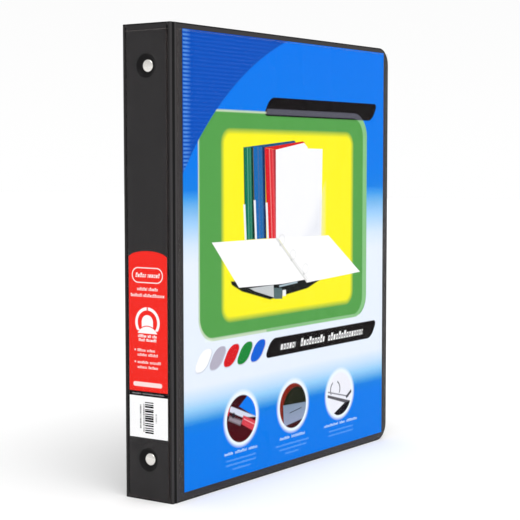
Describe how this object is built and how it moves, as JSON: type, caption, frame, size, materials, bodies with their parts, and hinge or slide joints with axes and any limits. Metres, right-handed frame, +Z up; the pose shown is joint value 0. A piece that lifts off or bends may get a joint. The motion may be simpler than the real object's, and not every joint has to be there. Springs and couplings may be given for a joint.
{
  "type": "ring binder",
  "caption": "Stiff-covered ring binder with clear overlay pockets, welded vinyl hinges, hinged covers and a snap-open ring mechanism riveted to the spine.",
  "frame": {"origin": "centre of the bounding box at the bottom edge the binder stands on", "axes": "+Z up along the spine, -X the spine's outer face, -Y the front cover's side"},
  "size_m": [0.2476, 0.0724, 0.2921],
  "materials": {
    "spine_outer_vinyl": "satin embossed vinyl",
    "spine_board": "grey chipboard",
    "spine_inner_liner": "satin vinyl",
    "spine_overlay_film": "clear polypropylene film",
    "front_outer_vinyl": "satin embossed vinyl",
    "front_board": "grey chipboard",
    "front_inner_liner": "satin vinyl",
    "front_overlay_film": "clear polypropylene film",
    "front_inner_pocket": "satin vinyl",
    "front_hinge_web": "welded vinyl hinge",
    "back_outer_vinyl": "satin embossed vinyl",
    "back_board": "grey chipboard",
    "back_inner_liner": "satin vinyl",
    "back_overlay_film": "clear polypropylene film",
    "back_inner_pocket": "satin vinyl",
    "back_hinge_web": "welded vinyl hinge",
    "spine_label": "printed, satin",
    "front_insert_sheet": "printed, satin",
    "ring_housing": "bright nickel plate",
    "leaf_plate_left": "plain steel",
    "half_ring_left_1": "bright nickel plate",
    "half_ring_left_2": "bright nickel plate",
    "half_ring_left_3": "bright nickel plate",
    "leaf_plate_right": "plain steel",
    "half_ring_right_1": "bright nickel plate",
    "half_ring_right_2": "bright nickel plate",
    "half_ring_right_3": "bright nickel plate",
    "trigger_top": "bright nickel plate",
    "rivet_top": "bright nickel plate",
    "trigger_bottom": "bright nickel plate",
    "rivet_bottom": "bright nickel plate"
  },
  "bodies": {
    "spine": {"spine_board": "spine_board", "spine_outer_vinyl": "spine_outer_vinyl", "spine_inner_liner": "spine_inner_liner", "spine_overlay_film": "spine_overlay_film", "spine_label": "spine_label", "ring_housing": "ring_housing", "rivet_top": "rivet_top", "rivet_bottom": "rivet_bottom", "front_hinge_web": "front_hinge_web", "back_hinge_web": "back_hinge_web"},
    "front_cover": {"front_board": "front_board", "front_outer_vinyl": "front_outer_vinyl", "front_inner_liner": "front_inner_liner", "front_overlay_film": "front_overlay_film", "front_insert_sheet": "front_insert_sheet", "front_inner_pocket": "front_inner_pocket"},
    "back_cover": {"back_board": "back_board", "back_outer_vinyl": "back_outer_vinyl", "back_inner_liner": "back_inner_liner", "back_overlay_film": "back_overlay_film", "back_inner_pocket": "back_inner_pocket"},
    "leaf_left": {"leaf_plate_left": "leaf_plate_left", "half_ring_left_1": "half_ring_left_1", "half_ring_left_2": "half_ring_left_2", "half_ring_left_3": "half_ring_left_3"},
    "leaf_right": {"leaf_plate_right": "leaf_plate_right", "half_ring_right_1": "half_ring_right_1", "half_ring_right_2": "half_ring_right_2", "half_ring_right_3": "half_ring_right_3"},
    "trigger_top": {"trigger_top": "trigger_top"},
    "trigger_bottom": {"trigger_bottom": "trigger_bottom"}
  },
  "joints": [
    {"name": "front_cover_hinge", "type": "hinge", "parent": "spine", "child": "front_cover", "pos_m": [-0.12216, -0.01833, 0.14605], "axis": [0, 0, -1], "range_deg": [0, 172], "deforming": ["front_hinge_web"]},
    {"name": "back_cover_hinge", "type": "hinge", "parent": "spine", "child": "back_cover", "pos_m": [-0.12216, 0.01833, 0.14605], "axis": [0, 0, 1], "range_deg": [0, 172], "deforming": ["back_hinge_web"]},
    {"name": "leaf_left_pivot", "type": "hinge", "parent": "spine", "child": "leaf_left", "pos_m": [-0.11686, -0.0089, 0.14605], "axis": [0, 0, -1], "range_deg": [0, 10]},
    {"name": "leaf_right_pivot", "type": "hinge", "parent": "spine", "child": "leaf_right", "pos_m": [-0.11686, 0.0089, 0.14605], "axis": [0, 0, 1], "range_deg": [0, 10]},
    {"name": "trigger_top_pivot", "type": "hinge", "parent": "spine", "child": "trigger_top", "pos_m": [-0.11893, 0, 0.27755], "axis": [0, -1, 0], "range_deg": [0, 20]},
    {"name": "trigger_bottom_pivot", "type": "hinge", "parent": "spine", "child": "trigger_bottom", "pos_m": [-0.11893, 0, 0.01455], "axis": [0, 1, 0], "range_deg": [0, 20]}
  ],
  "couplings": [
    {"joint": "leaf_right_pivot", "follows": "leaf_left_pivot", "ratio": 1},
    {"joint": "trigger_top_pivot", "follows": "leaf_left_pivot", "ratio": 2},
    {"joint": "trigger_bottom_pivot", "follows": "leaf_left_pivot", "ratio": 2}
  ]
}
